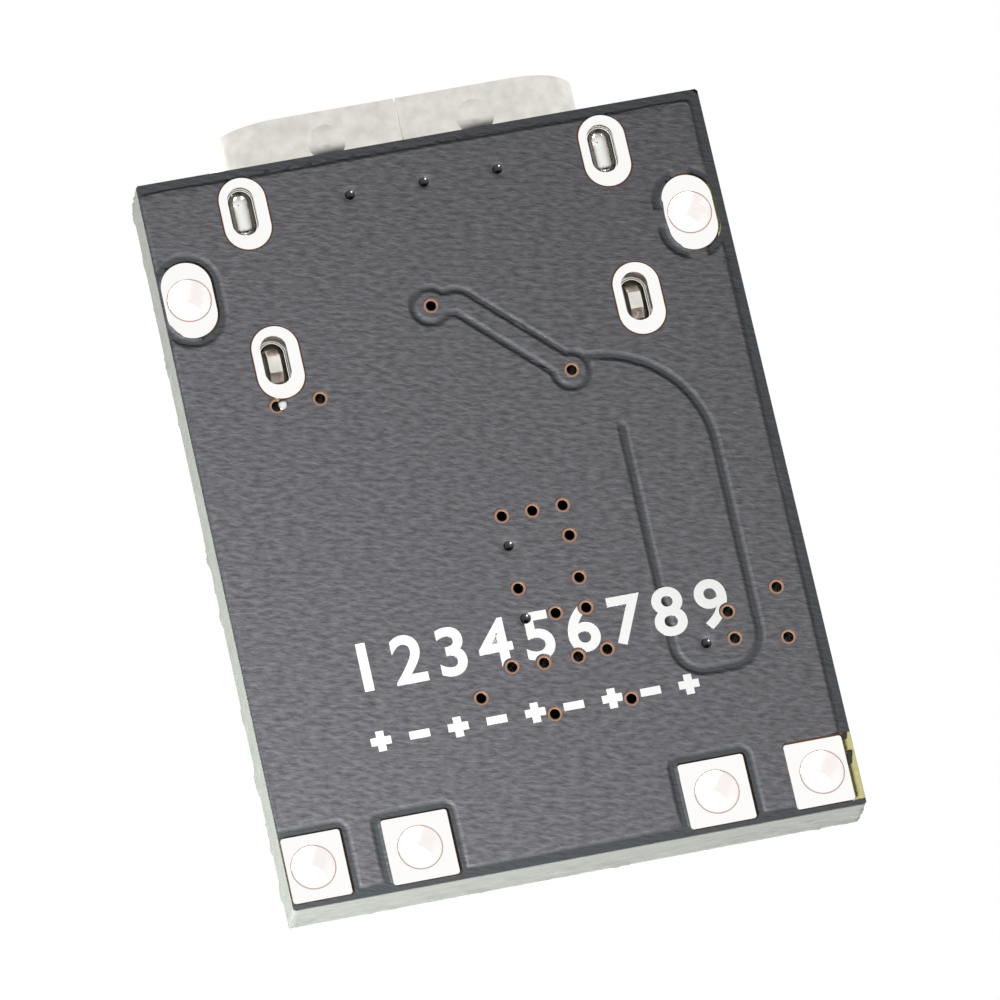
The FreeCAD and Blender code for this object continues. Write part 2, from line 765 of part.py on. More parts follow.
def socket_insulator(plate, contacts):
    """The moulded block that closes the shell's rear, with the tongue that stands out of it."""
    gap = insulator_clearance
    start = rear_y + insulator_setback
    plug = stadium(
        shell_width - 2 * sheet - 2 * gap, shell_height - 2 * sheet - 2 * gap, start, insulator_front
    )
    foot_end = rear_y + tail_opening_length - gap
    half = tail_opening_width / 2 - gap
    foot = block(
        socket_x - half, socket_x + half, start, foot_end, board_top + gap, board_top + shell_height / 2
    )
    root = tongue_middle(root_thickness, root_width, start, insulator_front + root_length)
    tongue = tongue_middle(tongue_thickness, tongue_width, start, tongue_tip)
    nose = [
        e
        for e in tongue.Edges
        if abs(e.Vertexes[0].Y - tongue_tip) < 0.001
        and abs(e.Vertexes[-1].Y - tongue_tip) < 0.001
        and abs(e.Vertexes[0].Z - e.Vertexes[-1].Z) < 0.001
    ]
    tongue = tongue.makeFillet(tongue_nose_radius, nose)
    body = plug.multiFuse([foot, root, tongue])
    pegs = []
    for x, y in peg_slots():
        low = y - peg_width / 2 - peg_relief
        high = y + peg_width / 2 + peg_relief
        pegs.append(block(x - shell_height / 2, x + shell_height / 2, low, high, board_top, board_top + sheet))
    return body.cut([plate] + contacts + pegs)


def placed(shape, place, turn):
    """A shape that was made about the Z axis, turned by some degrees and moved to its place."""
    moved = shape.copy()
    moved.rotate(V(0, 0, 0), V(0, 0, 1), turn)
    moved.translate(V(place[0], place[1], 0))
    return moved


def land_plate(x0, x1, y0, y1):
    """A copper land between two corners."""
    return block(x0, x1, y0, y1, core_top, land_top)


def solder_plate(x0, x1, y0, y1):
    """Solder that fills a land's window."""
    return block(x0, x1, y0, y1, land_top, board_top)


def gull_lead(body_edge, tip, mid_z, width):
    """A formed lead that leaves the body level and drops to a flat foot on the board."""
    half = lead_thickness / 2
    knee = body_edge + shoulder
    heel = tip - foot_length
    outline = [
        (body_edge, mid_z + half),
        (knee + half, mid_z + half),
        (heel + half, board_top + lead_thickness),
        (tip, board_top + lead_thickness),
        (tip, board_top),
        (heel - half, board_top),
        (knee - half, mid_z - half),
        (body_edge, mid_z - half),
    ]
    return prism_xz(outline, -width / 2, width / 2)


def leaded_chip(size, span, pitch, lead_width, lead_count, place, turn):
    """A moulded chip with rows of formed leads, the lands below them and their solder."""
    across, along, height = size
    mid_z = board_top + (standoff + height) / 2
    inner_across = across - 2 * body_draft
    inner_along = along - 2 * body_draft
    lower = frustum(inner_across, inner_along, board_top + standoff, across, along, mid_z)
    upper = frustum(across, along, mid_z, inner_across, inner_along, board_top + height)
    mark = rod(
        -across / 2 + pin_mark_inset,
        along / 2 - pin_mark_inset,
        pin_mark_radius,
        board_top + height - pin_mark_depth,
        board_top + height,
    )
    body = lower.fuse(upper).cut(mark)

    tip = span / 2
    lead = gull_lead(across / 2, tip, mid_z, lead_width)
    heel_x = tip - foot_length - land_heel
    toe_x = tip + land_toe
    half = lead_width / 2 + land_side
    land = land_plate(heel_x, toe_x, -half, half)
    fillet_outline = [
        (tip, board_top),
        (toe_x - land_side, board_top),
        (tip, board_top + joint_height),
    ]
    joint = solder_plate(heel_x, toe_x, -half, half)
    joint = joint.fuse(prism_xz(fillet_outline, -lead_width / 2, lead_width / 2))
    sets = {"leads": [], "lands": [], "joints": []}
    for row_turn in (0, 180):
        for index in range(lead_count):
            y = (index - (lead_count - 1) / 2) * pitch
            for key, shape in (("leads", lead), ("lands", land), ("joints", joint)):
                copy = shape.copy()
                copy.translate(V(0, y, 0))
                copy.rotate(V(0, 0, 0), V(0, 0, 1), row_turn)
                sets[key].append(placed(copy, place, turn))
    return placed(body, place, turn), sets["leads"], sets["lands"], sets["joints"]


def end_lands(length, width, end_length, height):
    """Lands and concave solder joints at both ends of a two-ended part."""
    inner_x = length / 2 - end_length
    outer_x = length / 2 + chip_toe
    half = width / 2
    lands = []
    joints = []
    top = board_top + height
    for turn in (0, 180):
        land = land_plate(inner_x, outer_x, -half, half)
        joint = solder_plate(inner_x, outer_x, -half, half)
        face = V(length / 2, -half, top)
        edge = V(outer_x - land_side, -half, board_top)
        corner = V(length / 2, -half, board_top)
        pull = corner + (face - corner) * fillet_fullness + (edge - corner) * fillet_fullness
        curve = Part.BezierCurve()
        curve.setPoles([face, pull, edge])
        outline = [
            curve.toShape(),
            Part.makeLine(edge, corner),
            Part.makeLine(corner, face),
        ]
        joint = joint.fuse(Part.Face(Part.Wire(outline)).extrude(V(0, width, 0)))
        for shape, group in ((land, lands), (joint, joints)):
            shape.rotate(V(0, 0, 0), V(0, 0, 1), turn)
            group.append(shape)
    return lands, joints


def two_ended_part(size, place, turn):
    """A ceramic block with a metal cap on each end, with its lands and solder."""
    length, width, height, end_length = size
    body = block(
        end_wrap - length / 2,
        length / 2 - end_wrap,
        end_wrap - width / 2,
        width / 2 - end_wrap,
        board_top + end_wrap,
        board_top + height - end_wrap,
    )
    ends = []
    for side in (-1, 1):
        reach = sorted((side * length / 2, side * (length / 2 - end_length)))
        cap = block(reach[0], reach[1], -width / 2, width / 2, board_top, board_top + height)
        ends.append(placed(cap.cut(body), place, turn))
    lands, joints = end_lands(length, width, end_length, height * joint_rise)
    lands = [placed(shape, place, turn) for shape in lands]
    joints = [placed(shape, place, turn) for shape in joints]
    return placed(body, place, turn), ends, lands, joints


def lamp(place, turn):
    """An indicator lamp: a thin base, metal wrapped round its ends, and a clear moulded cap."""
    base = block(
        end_wrap - lamp_length / 2,
        lamp_length / 2 - end_wrap,
        -lamp_width / 2,
        lamp_width / 2,
        board_top + end_wrap,
        board_top + lamp_base_height,
    )
    ends = []
    for side in (-1, 1):
        reach = sorted((side * lamp_length / 2, side * (lamp_length / 2 - lamp_end_length)))
        top = board_top + lamp_base_height + end_wrap
        wrap = block(reach[0], reach[1], -lamp_width / 2, lamp_width / 2, board_top, top)
        ends.append(placed(wrap.cut(base), place, turn))
    cap_base = board_top + lamp_base_height
    cap_length = lamp_length - 2 * lamp_end_length
    cap = frustum(
        cap_length,
        lamp_width,
        cap_base,
        cap_length - 2 * lamp_cap_draft,
        lamp_width - 2 * lamp_cap_draft,
        cap_base + lamp_cap_height,
    )
    lands, joints = end_lands(lamp_length, lamp_width, lamp_end_length, lamp_base_height)
    lands = [placed(shape, place, turn) for shape in lands]
    joints = [placed(shape, place, turn) for shape in joints]
    return placed(base, place, turn), ends, placed(cap, place, turn), lands, joints


def tail_lands():
    """Lands and solder under the tails of the socket's contacts."""
    lands = []
    joints = []
    for offset, width, _ in socket_contacts.values():
        x = socket_x + offset
        half = width / 2 + land_side
        y0 = tail_y - tail_toe
        y1 = y0 + tail_land_length
        lands.append(land_plate(x - half, x + half, y0, y1))
        outline = [
            (tail_y, board_top),
            (tail_y, board_top + joint_height),
            (y0 + land_side, board_top),
        ]
        joint = solder_plate(x - half, x + half, y0, y1)
        joints.append(joint.fuse(prism_yz(outline, x - width / 2, x + width / 2)))
    return lands, joints


def build():
    """Every node of the module by name, as one shape or a list of like solids."""
    nodes = {}
    pads = [wire_pad(name) for name in wire_pads]
    nodes.update(zip(wire_pads, pads))
    rings = [peg_ring(x, y) for x, y in peg_slots()]
    ring_names = ("peg_ring_front_right", "peg_ring_front_left", "peg_ring_rear_right", "peg_ring_rear_left")
    nodes.update(zip(ring_names, rings))

    contacts = {name: socket_contact(name) for name in socket_contacts}
    nodes.update(contacts)
    nodes["socket_shell"] = socket_shell()
    nodes["socket_latch_plate"] = latch_plate()
    nodes["socket_insulator"] = socket_insulator(nodes["socket_latch_plate"], list(contacts.values()))

    lands, joints = tail_lands()
    joints += [peg_solder(x, y) for x, y in peg_slots()]
    chips = {
        "charger": leaded_chip(
            charger_size,
            charger_span,
            charger_pitch,
            charger_lead_width,
            charger_lead_count,
            (charger_x, charger_y),
            0,
        ),
        "transistor": leaded_chip(
            transistor_size,
            transistor_span,
            transistor_pitch,
            transistor_lead_width,
            transistor_lead_count,
            (transistor_x, transistor_y),
            0,
        ),
        "protector": leaded_chip(
            protector_size,
            protector_span,
            protector_pitch,
            protector_lead_width,
            protector_lead_count,
            protector_place,
            90,
        ),
    }
    for name, (body, leads, chip_lands, chip_joints) in chips.items():
        nodes[name + "_body"] = body
        nodes[name + "_leads"] = leads
        lands += chip_lands
        joints += chip_joints
    for name, (size, x, y) in list(resistors.items()) + list(capacitors.items()):
        turn = 90 if name in upright_parts else 0
        body, ends, part_lands, part_joints = two_ended_part(size, (x, y), turn)
        nodes[name + "_body"] = body
        nodes[name + "_ends"] = ends
        lands += part_lands
        joints += part_joints
    for name, place in lamps.items():
        base, ends, cap, part_lands, part_joints = lamp(place, 90)
        nodes[name + "_base"] = base
        nodes[name + "_ends"] = ends
        nodes[name + "_cap"] = cap
        lands += part_lands
        joints += part_joints
    nodes["component_lands"] = lands
    nodes["solder_joints"] = joints

    nodes["glass_fibre_core"] = glass_fibre_core()
    nodes["etched_copper"] = copper_layer(pads, rings)
    nodes["solder_mask_back"] = back_mask(nodes["etched_copper"], pads, rings)
    nodes["solder_mask_front"] = front_mask(nodes["etched_copper"], pads, rings, lands)
    return nodes


os.makedirs("parts", exist_ok=True)
for node_name, node_shape in build().items():
    if isinstance(node_shape, list):
        node_shape = Part.makeCompound(node_shape)
    node_shape.exportStep(f"parts/{node_name}.step")
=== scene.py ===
import math

import bmesh
import bpy
from bpy.props import FloatProperty, FloatVectorProperty, IntProperty, PointerProperty
from mathutils import Matrix, Vector, noise
from mathutils.bvhtree import BVHTree


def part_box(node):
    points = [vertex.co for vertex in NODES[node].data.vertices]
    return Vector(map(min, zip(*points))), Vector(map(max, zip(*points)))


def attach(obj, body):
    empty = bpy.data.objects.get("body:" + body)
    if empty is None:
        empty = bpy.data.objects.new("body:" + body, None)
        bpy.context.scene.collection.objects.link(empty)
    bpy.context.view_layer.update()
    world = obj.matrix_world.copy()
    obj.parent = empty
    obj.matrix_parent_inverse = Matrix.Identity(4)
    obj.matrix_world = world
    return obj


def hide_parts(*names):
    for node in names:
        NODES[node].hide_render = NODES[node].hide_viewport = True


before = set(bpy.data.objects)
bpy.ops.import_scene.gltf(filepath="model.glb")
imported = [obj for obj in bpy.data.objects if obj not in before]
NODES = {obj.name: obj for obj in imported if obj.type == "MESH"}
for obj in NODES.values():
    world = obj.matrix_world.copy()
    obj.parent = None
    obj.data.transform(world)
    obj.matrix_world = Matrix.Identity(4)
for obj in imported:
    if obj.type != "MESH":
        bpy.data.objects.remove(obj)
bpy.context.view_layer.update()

bl_info = {
    "name": "Lithium battery charger module",
    "version": (1, 0, 0),
    "blender": (4, 5, 0),
    "location": "3D View > Sidebar > Charger module",
    "description": "Finishes a small charging board with a Type-C socket, seen from its bare back",
    "category": "Object",
}

MM = 0.001
NEAR = 0.002 * MM  # heights that differ by less are the same level
MERGED = 0.0001 * MM  # points that lie closer become one
UPRIGHT = 0.1  # the normal of a wall rises or falls by less than this
DOWN = -0.9  # the normal of a face that looks down falls by more than this
ROUND_SIDES = 32
BOWL = ((1, 0), (0.75, 0.3), (0.4, 0.5), (0, 0.57))  # a pooled bottom's points, as shares of its via's radius
TEAR_NOISE = (0.7, 2.0, 3)  # how fast finer tears fade, how much finer each layer is, and how many there are
DIGIT_SHARE = 0.7  # a digit's height as a share of its type's size


def linear(hex_colour):
    """An sRGB hex colour as the linear colour that a shader takes."""
    channels = [int(hex_colour[i : i + 2], 16) / 255 for i in (1, 3, 5)]
    curved = [c / 12.92 if c <= 0.04045 else ((c + 0.055) / 1.055) ** 2.4 for c in channels]
    return (*curved, 1.0)


def colour_property(name, description, hex_colour):
    """A colour that a user can change."""
    return FloatVectorProperty(
        name=name, description=description, subtype="COLOR", size=4, min=0, max=1, default=linear(hex_colour)
    )


def length_property(name, description, millimetres):
    """A length that a user can change."""
    return FloatProperty(name=name, description=description, unit="LENGTH", default=millimetres * MM)


class BoardSettings(bpy.types.PropertyGroup):
    """Sizes and colours of the bare board."""

    mask_colour: colour_property("Mask", "Solder mask over copper", "#706f73")
    # painted shade: the mask's colour in the dips between its skin's bumps
    mask_dip_shade_colour: colour_property("Mask in the dips", "Solder mask between its skin's bumps", "#4a494d")
    sunken_colour: colour_property("Sunken mask", "Solder mask straight on the laminate", "#3e4144")
    laminate_colour: colour_property("Laminate", "Glass-fibre laminate without copper", "#cfc98a")
    # resin stain and painted shade: the laminate's dark brown in the narrow slits round the pads
    slit_stain_and_shade_colour: colour_property("Slits", "Laminate in the slits round the pads", "#3a2d22")
    open_laminate_x: length_property("Open laminate", "The laminate lies open beyond this place", -6.45)
    routed_colour: colour_property("Routed edge", "Laminate cut by a router", "#8a8e87")
    step_half_width: length_property("Step", "How far a step of the mask is rounded to each side", 0.055)
    longest_edge: length_property("Longest edge", "Longer edges of the mask's mesh are halved", 0.6)
    crater_width: length_property("Crater", "How far the mask dips round a covered via", 0.15)
    crater_depth: length_property("Crater depth", "How deep the mask dips at a covered via", 0.021)
    crater_edge: length_property("Crater's edges", "Longest edge of the mask's mesh in a dip", 0.06)
    covered_via_limit: length_property("Covered via", "Narrower holes in the mask are covered vias", 0.3)
    open_via_limit: length_property("Open via", "Other holes narrower than this are open vias", 0.45)
    wire_hole_limit: length_property("Wire hole", "Holes in a pad narrower than this are wire holes", 1.1)
    # painted shade: the rim is a pinkish ring that stands for a wire hole's wall in shade
    rim_width: length_property("Rim", "Width of the worn rim of a wire hole", 0.03)
    rim_lift: length_property("Rim's height", "How far the worn rim stands out of its pad", 0.001)
    splash_x: length_property("Splash", "Place of a splash of solder, across the board", 4.49)
    splash_y: length_property("Splash's row", "Place of the splash of solder, along the board", 3.02)
    splash_radius: length_property("Splash's size", "Half the width of the splash", 0.11)
    first_scrap_y: length_property("First scrap", "Place of a scrap of mask on bare laminate", -7.2)
    first_scrap_length: length_property("First scrap's length", "Length of the first scrap", 0.22)
    second_scrap_y: length_property("Second scrap", "Place of another scrap of mask on bare laminate", -7.75)
    second_scrap_length: length_property("Second scrap's length", "Length of the second scrap", 0.32)
    scrap_width: length_property("Scraps' width", "Width of both scraps", 0.09)
    scrap_rounding: length_property("Scraps' rounding", "How far the scraps' edges are rounded", 0.008)
    scrap_turn: FloatProperty(name="Scraps' lay", description="Turn of both scraps in degrees", default=14.0)
    via_hole_limit: length_property("Via hole", "Holes in the copper narrower than this are vias", 0.26)
    via_ring_radius: length_property("Via ring", "Radius of the bare ring of a via", 0.19)
    copper_level: length_property("Copper", "How deep the copper lies under the mask's face", 0.025)
    skin_length: length_property("Skin bumps", "Length of the bumps of the mask's skin", 0.26)
    skin_width: length_property("Skin bumps' width", "Width of the bumps of the mask's skin", 0.1)
    skin_depth: length_property("Skin bumps' height", "Height of the bumps of the mask's skin", 0.02)
    skin_turn: FloatProperty(name="Skin's lay", description="Turn of the bumps in degrees", default=12.0)
    fray_base: length_property("Fray", "Least height of the fibres on the routed edge", 0.006)
    fray_reach: length_property("Fray reach", "How far fibres stand out of the routed edge", 0.09)
    fray_spacing: length_property("Fray spacing", "Distance between points round the routed edge", 0.09)
    fray_rows: IntProperty(name="Fray rows", description="Rows of points up the edge", default=14, min=4)
    tear_length: length_property("Tear", "Length of a tear along the routed edge", 0.5)
    tear_height: length_property("Tear's height", "Height of a tear up the routed edge", 0.2)


class MarkSettings(bpy.types.PropertyGroup):
    """White ink marks on the back: a row of plain numbers over a row of signs."""

    ink_thickness: length_property("Ink", "Thickness of the ink", 0.012)
    row_start: length_property("First mark", "Middle of the first mark, seen from the back", -3.95)
    numbers_pitch: length_property("Numbers' pitch", "From one number to the next", 1.03)
    numbers_height: length_property("Numbers", "Height of a number", 1.12)
    numbers_y: length_property("Numbers' row", "Middle of the row of numbers", -3.62)
    signs_pitch: length_property("Signs' pitch", "From one sign to the next", 0.91)
    signs_y: length_property("Signs' row", "Middle of the row of signs", -5.35)
    sign_size: length_property("Signs", "Width of a sign", 0.48)
    stroke: length_property("Stroke", "Width of a sign's stroke", 0.19)
    heavier: length_property("Heavier", "How far a number's outline is moved out", 0.035)
    clearance: length_property("Clearance", "How far the ink keeps from a via's opening", 0.02)
    count: IntProperty(name="Marks", description="How many marks a row holds", default=9, min=1)


class StageSettings(bpy.types.PropertyGroup):
    """The studio: floor, lamps and camera."""

    floor_size: FloatProperty(name="Floor", description="Side of the floor", unit="LENGTH", default=0.3)
    floor_drop: length_property("Floor's drop", "How far the floor lies under the board", 0.02)
    floor_colour: colour_property("Floor", "Pale paper", "#f2f2f0")
    fill_strength: FloatProperty(name="Fill", description="Light from all around", default=0.06, min=0)
    key_power: FloatProperty(name="Key", description="Power of the lamp below", default=0.066, min=0)
    key_place: FloatVectorProperty(
        name="Key's place",
        description="Where the lamp below stands",
        subtype="TRANSLATION",
        default=(0.036, -0.033, -0.022),
    )
    key_size: length_property("Key's size", "Side of the lamp below", 16)
    camera_place: FloatVectorProperty(
        name="Camera",
        description="Where the camera stands",
        subtype="TRANSLATION",
        default=(31.49 * MM, -57.67 * MM, -195.78 * MM),
    )
    camera_aim: FloatVectorProperty(
        name="Aim",
        description="What the camera looks at",
        subtype="TRANSLATION",
        default=(0.015 * MM, -0.189 * MM, 0.0),
    )
    camera_up: FloatVectorProperty(
        name="Up",
        description="What is up in the picture",
        subtype="DIRECTION",
        default=(-0.1764, 0.9364, -0.3033),
    )
    lens: FloatProperty(name="Lens", description="Focal length in millimetres", default=321.04)


def settings():
    """The scene's own settings."""
    scene = bpy.context.scene
    return scene.charger_board, scene.charger_marks, scene.charger_stage


def add_node(tree, kind, values=(), links=()):
    """A node with its settings, its input values and its incoming links."""
    made = tree.nodes.new(kind)
    for key, value in dict(values).items():
        if isinstance(key, str) and hasattr(made, key):
            setattr(made, key, value)
        else:
            made.inputs[key].default_value = value
    for key, socket in dict(links).items():
        tree.links.new(socket, made.inputs[key])
    return made


def new_material(name, colour=(0.8, 0.8, 0.8, 1), roughness=0.5, metallic=0.0):
    """A material with one even finish."""
    material = bpy.data.materials.new(name)
    material.use_nodes = True
    shader = material.node_tree.nodes["Principled BSDF"]
    shader.inputs["Base Color"].default_value = colour
    shader.inputs["Roughness"].default_value = roughness
    shader.inputs["Metallic"].default_value = metallic
    return material, material.node_tree, shader


def grained(tree, shader, spacing, depth, dip_shade_colour, bump_colour, turn=0.0):
    """Gives a finish a fine relief, with a darker colour in its dips, which is painted shade, and another on
    its bumps.
    """
    place = add_node(tree, "ShaderNodeTexCoord").outputs["Object"]
    scaled = add_node(
        tree,
        "ShaderNodeMapping",
        {"vector_type": "TEXTURE", "Scale": spacing, "Rotation": (0, 0, turn)},
        {"Vector": place},
    )
    grain = add_node(
        tree,
        "ShaderNodeTexNoise",
        {"Scale": 1.0, "Detail": 3.0, "Roughness": 0.55},
        {"Vector": scaled.outputs[0]},
    )
    # painted shade: the ramp gives the relief's dips the darker colour
    tones_and_dip_shade = add_node(tree, "ShaderNodeValToRGB", {}, {"Fac": grain.outputs["Fac"]})
    tones_and_dip_shade.color_ramp.elements[0].position = 0.3
    tones_and_dip_shade.color_ramp.elements[1].position = 0.7
    tones_and_dip_shade.color_ramp.elements[0].color = dip_shade_colour
    tones_and_dip_shade.color_ramp.elements[1].color = bump_colour
    relief = add_node(tree, "ShaderNodeBump", {"Distance": depth}, {"Height": grain.outputs["Fac"]})
    tree.links.new(tones_and_dip_shade.outputs["Color"], shader.inputs["Base Color"])
    tree.links.new(relief.outputs["Normal"], shader.inputs["Normal"])
    return tones_and_dip_shade.outputs["Color"]


def darker(colour, share):
    """A colour with less light in it."""
    return (*[channel * share for channel in colour[:3]], 1.0)


def satin_solder_mask():
    """Black liquid solder mask, cured to a satin skin of small long bumps with painted shade in the dips
    between them, and bluer where it has sunk.
    """
    board = settings()[0]
    material, tree, shader = new_material("satin_black_solder_mask", roughness=0.48)
    skin = grained(
        tree,
        shader,
        spacing=(board.skin_length, board.skin_width, board.skin_length),
        depth=board.skin_depth,
        dip_shade_colour=tuple(board.mask_dip_shade_colour),
        bump_colour=tuple(board.mask_colour),
        turn=math.radians(board.skin_turn),
    )
    sunk = add_node(tree, "ShaderNodeAttribute", {"attribute_name": "sunk"}).outputs["Fac"]
    colour = add_node(
        tree,
        "ShaderNodeMix",
        {"data_type": "RGBA", 7: tuple(board.sunken_colour)},
        {"Factor": sunk, 6: skin},
    )
    tree.links.new(colour.outputs[2], shader.inputs["Base Color"])
    return material


def metal_with_wall_shade(name, *, wall_shade_hex, face_hex, roughness, sharpness=1.0):
    """A metal with a darker tone on upright walls, which is painted shade, and another on its faces."""
    material, tree, shader = new_material(name, roughness=roughness, metallic=1.0)
    normal = add_node(tree, "ShaderNodeNewGeometry").outputs["Normal"]
    upright = add_node(tree, "ShaderNodeSeparateXYZ", {}, {"Vector": normal}).outputs["Z"]
    flat = add_node(tree, "ShaderNodeMath", {"operation": "ABSOLUTE"}, {0: upright}).outputs["Value"]
    share = add_node(tree, "ShaderNodeMath", {"operation": "POWER", 1: sharpness}, {0: flat}).outputs["Value"]
    colour = add_node(
        tree,
        "ShaderNodeMix",
        {"data_type": "RGBA", 6: linear(wall_shade_hex), 7: linear(face_hex)},
        {"Factor": share},
    )
    tree.links.new(colour.outputs[2], shader.inputs["Base Color"])
    return material


def grained_metal(name, hex_colour, *, roughness, spacing, depth, dip=0.93):
    """A metal with a fine relief, a share darker in its dips as painted shade."""
    material, tree, shader = new_material(name, roughness=roughness, metallic=1.0)
    colour = linear(hex_colour)
    grained(tree, shader, (spacing,) * 3, depth, dip_shade_colour=darker(colour, dip), bump_colour=colour)
    return material


def grained_solid(name, hex_colour, *, roughness, spacing, depth, dip=0.8):
    """A moulded, fired, printed or glazed material with a fine relief, a share darker in its dips as painted
    shade.
    """
    material, tree, shader = new_material(name, roughness=roughness)
    colour = linear(hex_colour)
    grained(tree, shader, (spacing,) * 3, depth, dip_shade_colour=darker(colour, dip), bump_colour=colour)
    return material


def glass_fibre_laminate():
    """FR4: yellow with resin in the open, brown in the slits round the pads from resin stain and painted
    shade, pale where it is cut.
    """
    board = settings()[0]
    material, tree, shader = new_material("glass_fibre_laminate", roughness=0.7)
    cloth = grained(
        tree,
        shader,
        spacing=(0.12 * MM,) * 3,
        depth=0.01 * MM,
        dip_shade_colour=darker(board.laminate_colour, 0.85),
        bump_colour=tuple(board.laminate_colour),
    )
    place = add_node(tree, "ShaderNodeTexCoord").outputs["Object"]
    across = add_node(tree, "ShaderNodeSeparateXYZ", {}, {0: place}).outputs["X"]
    # resin stain and painted shade: all laminate short of the open strip takes the dark slit colour
    inside = add_node(
        tree, "ShaderNodeMath", {"operation": "GREATER_THAN", 1: board.open_laminate_x}, {0: across}
    )
    face = add_node(
        tree,
        "ShaderNodeMix",
        {"data_type": "RGBA", 7: tuple(board.slit_stain_and_shade_colour)},
        {"Factor": inside.outputs[0], 6: cloth},
    )
    normal = add_node(tree, "ShaderNodeNewGeometry").outputs["Normal"]
    upright = add_node(tree, "ShaderNodeSeparateXYZ", {}, {0: normal}).outputs["Z"]
    flat = add_node(tree, "ShaderNodeMath", {"operation": "ABSOLUTE"}, {0: upright}).outputs["Value"]
    colour = add_node(
        tree,
        "ShaderNodeMix",
        {"data_type": "RGBA", 6: tuple(board.routed_colour)},
        {"Factor": flat, 7: face.outputs[2]},
    )
    tree.links.new(colour.outputs[2], shader.inputs["Base Color"])
    return material


def routed_laminate():
    """FR4 cut by a router: pale and dusty, with torn fibres that lie along the cut."""
    board = settings()[0]
    material, tree, shader = new_material("routed_laminate", roughness=0.85)
    grained(
        tree,
        shader,
        spacing=(0.35 * MM, 0.35 * MM, 0.07 * MM),
        depth=0.02 * MM,
        dip_shade_colour=darker(board.routed_colour, 0.8),
        bump_colour=tuple(board.routed_colour),
    )
    return material


def clear_epoxy():
    """Water-clear epoxy over a lamp's chip, with a soft surface."""
    material, _, shader = new_material("clear_epoxy", linear("#fbfbf4"), roughness=0.15)
    shader.inputs["Transmission Weight"].default_value = 0.85
    shader.inputs["IOR"].default_value = 1.52
    return material


def paint(node_names, material):
    """Gives CAD nodes a material."""
    for name in node_names:
        mesh = NODES[name].data
        mesh.materials.clear()
        mesh.materials.append(material)


def merged_copy(node_name):
    """A bmesh of a CAD node's shape with its loose triangles joined."""
    shape = bmesh.new()
    shape.from_mesh(NODES[node_name].data)
    bmesh.ops.remove_doubles(shape, verts=shape.verts, dist=MERGED)
    return shape


def piece_from(shape, name, material):
    """Turns a bmesh into a piece of the module."""
    mesh = bpy.data.meshes.new(name)
    shape.to_mesh(mesh)
    shape.free()
    return piece_of(mesh, name, material)


def piece_of(mesh, name, material):
    """Turns a mesh into a piece of the module."""
    mesh.materials.clear()
    mesh.materials.append(material)
    piece = bpy.data.objects.new(name, mesh)
    bpy.context.scene.collection.objects.link(piece)
    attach(piece, "root")
    return piece


def is_step(face, floor_level):
    """Whether a face is an upright wall between the mask's face and its sunken parts."""
    levels = [v.co.z for v in face.verts]
    return abs(face.normal.z) < UPRIGHT and min(levels) < NEAR and abs(max(levels) - floor_level) < NEAR


def step_walls(shape, floor_level):
    """A search tree of the mask's steps."""
    corners = []
    walls = []
    for face in shape.faces:
        if is_step(face, floor_level):
            walls.append(range(len(corners), len(corners) + len(face.verts)))
            corners += [v.co.copy() for v in face.verts]
    return BVHTree.FromPolygons(corners, [list(wall) for wall in walls])


def round_windows(shape, limit, level=0.0):
    """The middle and radius of each opening in a face at some level that is narrower than a limit."""
    upright = [f for f in shape.faces if abs(f.normal.z) < UPRIGHT]
    walls = [f for f in upright if min(v.co.z for v in f.verts) < level + NEAR]
    unvisited = set(walls)
    holes = []
    for wall in walls:
        if wall not in unvisited:
            continue
        unvisited.remove(wall)
        island = [wall]
        for face in island:
            neighbours = {other for edge in face.edges for other in edge.link_faces} & unvisited
            unvisited -= neighbours
            island += neighbours
        places = [v.co for face in island for v in face.verts]
        low = Vector((min(p.x for p in places), min(p.y for p in places), 0))
        high = Vector((max(p.x for p in places), max(p.y for p in places), 0))
        if (high - low).x < limit and (high - low).y < limit:
            holes.append(((low + high) / 2, (high - low).x / 2))
    return holes


def windows_of(node_name, limit, level=0.0):
    """The middle and radius of each narrow opening in a CAD node."""
    shape = merged_copy(node_name)
    holes = round_windows(shape, limit, level)
    shape.free()
    return holes


def on_level(shape, level):
    """The faces that look down from a level."""
    return [f for f in shape.faces if f.normal.z < DOWN and abs(f.calc_center_median().z - level) < NEAR]


def cut_long_edges(shape, levels, reach, spots=()):
    """Halves long edges until all are short, near some spots or everywhere, and evens out the triangles."""
    too_long = True
    while too_long:
        too_long = [
            e
            for e in shape.edges
            if e.calc_length() > reach
            and any(f.normal.z < DOWN for f in e.link_faces)
            and (not spots or any(near(e, middle, radius) for middle, radius in spots))
        ]
        bmesh.ops.subdivide_edges(shape, edges=too_long, cuts=1)
        shape.normal_update()
        bmesh.ops.triangulate(shape, faces=[f for f in shape.faces if len(f.verts) > 3 and f.normal.z < DOWN])
        shape.normal_update()
    for level in levels:
        faces = on_level(shape, level)
        flat = set(faces)
        inner = [e for e in shape.edges if len(flat.intersection(e.link_faces)) == 2]
        bmesh.ops.beautify_fill(shape, faces=faces, edges=inner)


def near(edge, middle, radius):
    """Whether some point of an edge lies within a radius of a spot, seen from above."""
    start, end = (v.co.xy for v in edge.verts)
    along = end - start
    share = (middle.xy - start).dot(along) / max(along.length_squared, NEAR**2)
    return (start + along * min(max(share, 0), 1) - middle.xy).length < radius


